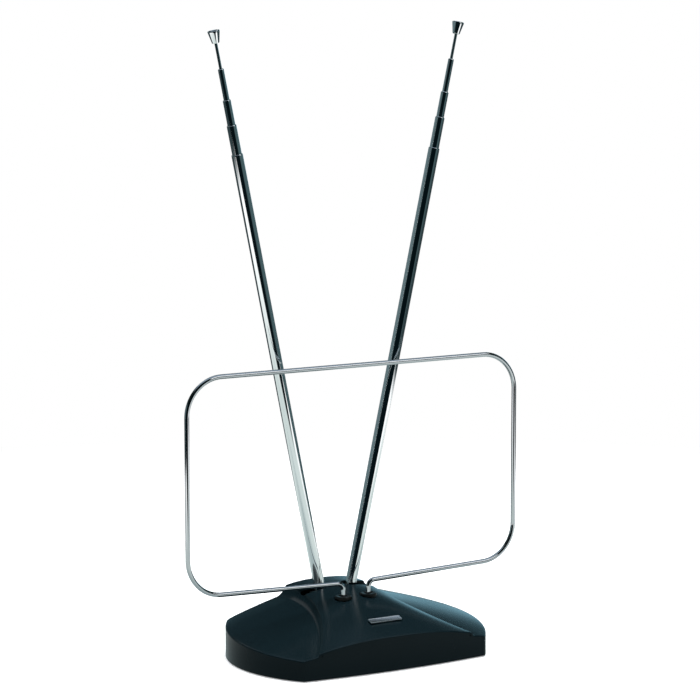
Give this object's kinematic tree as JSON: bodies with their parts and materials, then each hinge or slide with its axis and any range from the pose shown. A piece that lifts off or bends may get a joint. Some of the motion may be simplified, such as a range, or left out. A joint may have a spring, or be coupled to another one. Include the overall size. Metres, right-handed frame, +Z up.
{
  "type": "rabbit ears antenna",
  "caption": "Tabletop television antenna: telescopic chrome masts that fold out from a weighted moulded base, with a plug-in wire loop in front.",
  "frame": {"origin": "on the table, under the middle of the antenna's bounding box", "axes": "+Z up, +X to the right of someone facing the front slope, +Y to the flat back"},
  "size_m": [0.2228, 0.094, 0.3665],
  "materials": {
    "cover_plastic": "satin-gloss moulded shell, very dark blue-green grey",
    "inner_plastic": "matte moulded plastic",
    "collar_plastic": "black moulded bush",
    "mast_chrome": "bright chrome plate",
    "loop_chrome": "bright chrome plated wire",
    "contact_brass": "plain brass",
    "screw_steel": "zinc plated",
    "ballast_steel": "plain steel slab",
    "foot_rubber": "soft black rubber",
    "board_laminate": "phenolic laminate",
    "ferrite": "fired ferrite",
    "capacitor_ceramic": "dipped ceramic",
    "badge_silver": "plain silver bar"
  },
  "bodies": {
    "base": {"base_cover": "cover_plastic", "base_plate": "inner_plastic", "ballast_weight": "ballast_steel", "mast_bracket": "inner_plastic", "circuit_board": "board_laminate", "balun_core": "ferrite", "coupling_capacitor": "capacitor_ceramic", "cable_bush": "collar_plastic", "badge_bar": "badge_silver", "foot_front_left": "foot_rubber", "cover_screw_front_left": "screw_steel", "foot_front_right": "foot_rubber", "cover_screw_front_right": "screw_steel", "foot_rear_left": "foot_rubber", "cover_screw_rear_left": "screw_steel", "foot_rear_right": "foot_rubber", "cover_screw_rear_right": "screw_steel", "bracket_screw_front": "screw_steel", "bracket_screw_rear": "screw_steel", "pivot_screw_left": "screw_steel", "pivot_nut_left": "screw_steel", "friction_washer_left": "foot_rubber", "spring_washer_left": "screw_steel", "ring_terminal_left": "contact_brass", "loop_socket_left": "collar_plastic", "loop_contact_left": "contact_brass", "pivot_screw_right": "screw_steel", "pivot_nut_right": "screw_steel", "friction_washer_right": "foot_rubber", "spring_washer_right": "screw_steel", "ring_terminal_right": "contact_brass", "loop_socket_right": "collar_plastic", "loop_contact_right": "contact_brass"},
    "loop": {"uhf_loop": "loop_chrome"},
    "mast_left": {"mast_knuckle_left": "mast_chrome", "outer_tube_left": "mast_chrome"},
    "section_2_left": {"tube_2_left": "mast_chrome", "friction_sleeve_2_left": "contact_brass"},
    "section_3_left": {"tube_3_left": "mast_chrome", "friction_sleeve_3_left": "contact_brass"},
    "section_4_left": {"tube_4_left": "mast_chrome", "friction_sleeve_4_left": "contact_brass"},
    "rod_left": {"inner_rod_left": "mast_chrome", "mast_tip_left": "mast_chrome", "friction_sleeve_rod_left": "contact_brass"},
    "mast_right": {"mast_knuckle_right": "mast_chrome", "outer_tube_right": "mast_chrome"},
    "section_2_right": {"tube_2_right": "mast_chrome", "friction_sleeve_2_right": "contact_brass"},
    "section_3_right": {"tube_3_right": "mast_chrome", "friction_sleeve_3_right": "contact_brass"},
    "section_4_right": {"tube_4_right": "mast_chrome", "friction_sleeve_4_right": "contact_brass"},
    "rod_right": {"inner_rod_right": "mast_chrome", "mast_tip_right": "mast_chrome", "friction_sleeve_rod_right": "contact_brass"}
  },
  "joints": [
    {"name": "loop_unplug", "type": "slide", "parent": "base", "child": "loop", "axis": [0, 0, 1], "range_m": [0, 0.02]},
    {"name": "mast_left_fold", "type": "hinge", "parent": "base", "child": "mast_left", "pos_m": [-0.0095, 0.026, 0.0306], "axis": [0, -1, 0], "range_deg": [-11.8, 53.2]},
    {"name": "section_2_left_slide", "type": "slide", "parent": "mast_left", "child": "section_2_left", "axis": [-0.2045, 0, 0.9789], "range_m": [-0.015, 0.209]},
    {"name": "section_3_left_slide", "type": "slide", "parent": "section_2_left", "child": "section_3_left", "axis": [-0.2045, 0, 0.9789], "range_m": [-0.0126, 0.202]},
    {"name": "section_4_left_slide", "type": "slide", "parent": "section_3_left", "child": "section_4_left", "axis": [-0.2045, 0, 0.9789], "range_m": [-0.016, 0.19]},
    {"name": "rod_left_slide", "type": "slide", "parent": "section_4_left", "child": "rod_left", "axis": [-0.2045, 0, 0.9789], "range_m": [-0.0143, 0.187]},
    {"name": "mast_right_fold", "type": "hinge", "parent": "base", "child": "mast_right", "pos_m": [0.0095, 0.026, 0.0306], "axis": [0, 1, 0], "range_deg": [-12.6, 52.4]},
    {"name": "section_2_right_slide", "type": "slide", "parent": "mast_right", "child": "section_2_right", "axis": [0.2181, 0, 0.9759], "range_m": [-0.0164, 0.208]},
    {"name": "section_3_right_slide", "type": "slide", "parent": "section_2_right", "child": "section_3_right", "axis": [0.2181, 0, 0.9759], "range_m": [-0.0132, 0.202]},
    {"name": "section_4_right_slide", "type": "slide", "parent": "section_3_right", "child": "section_4_right", "axis": [0.2181, 0, 0.9759], "range_m": [-0.0178, 0.188]},
    {"name": "rod_right_slide", "type": "slide", "parent": "section_4_right", "child": "rod_right", "axis": [0.2181, 0, 0.9759], "range_m": [-0.0145, 0.187]}
  ]
}
